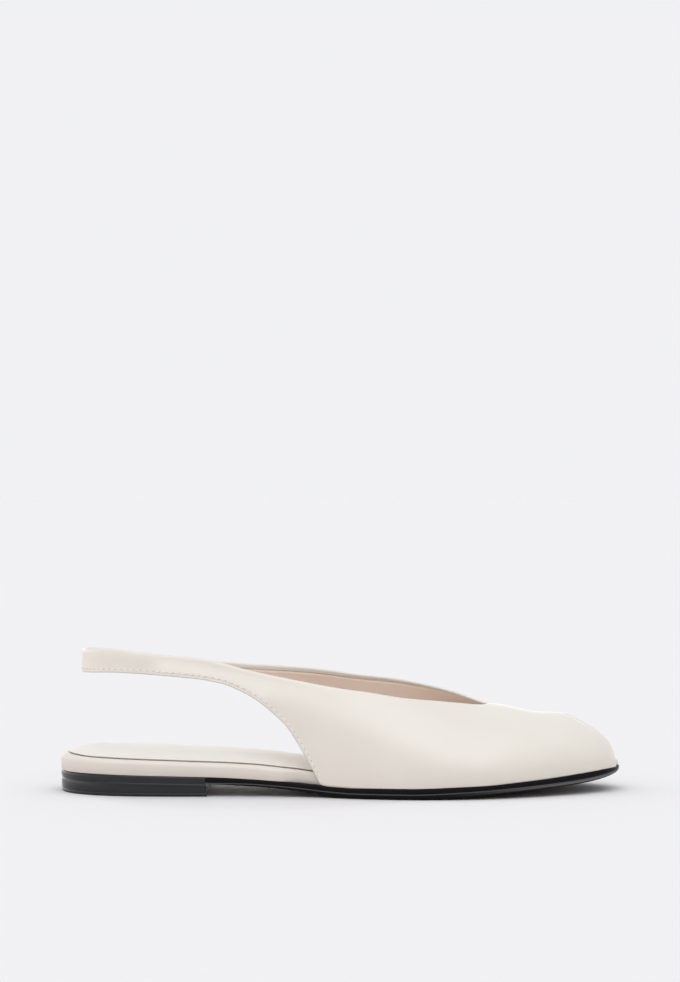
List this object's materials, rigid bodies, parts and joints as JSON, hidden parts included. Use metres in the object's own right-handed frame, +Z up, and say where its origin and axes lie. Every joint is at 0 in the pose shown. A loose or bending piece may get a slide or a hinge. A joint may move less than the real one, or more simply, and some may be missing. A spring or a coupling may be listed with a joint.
{
  "type": "sling back flat shoe",
  "caption": "Open-toe flat shoe with a one-piece cream leather vamp, quarters and sling strap, a padded sock on a wrapped footbed, and a low black sole and heel",
  "frame": {"origin": "under the middle of the shoe's bounding box, on the floor that it stands on", "axes": "+X towards the toe, +Y towards the medial (inner) side of a right shoe, +Z up"},
  "size_m": [0.2504, 0.0814, 0.0648],
  "materials": {
    "upper_leather": "smooth satin leather, cream",
    "footbed_leather": "smooth satin leather, cream",
    "sock_leather": "matt lining leather, cream",
    "sole_rubber": "satin, black",
    "heel_rubber": "satin, black"
  },
  "bodies": {
    "root": {"upper": "upper_leather", "footbed": "footbed_leather", "sock": "sock_leather", "outsole": "sole_rubber", "heel_block": "heel_rubber", "top_piece": "heel_rubber"}
  },
  "joints": []
}
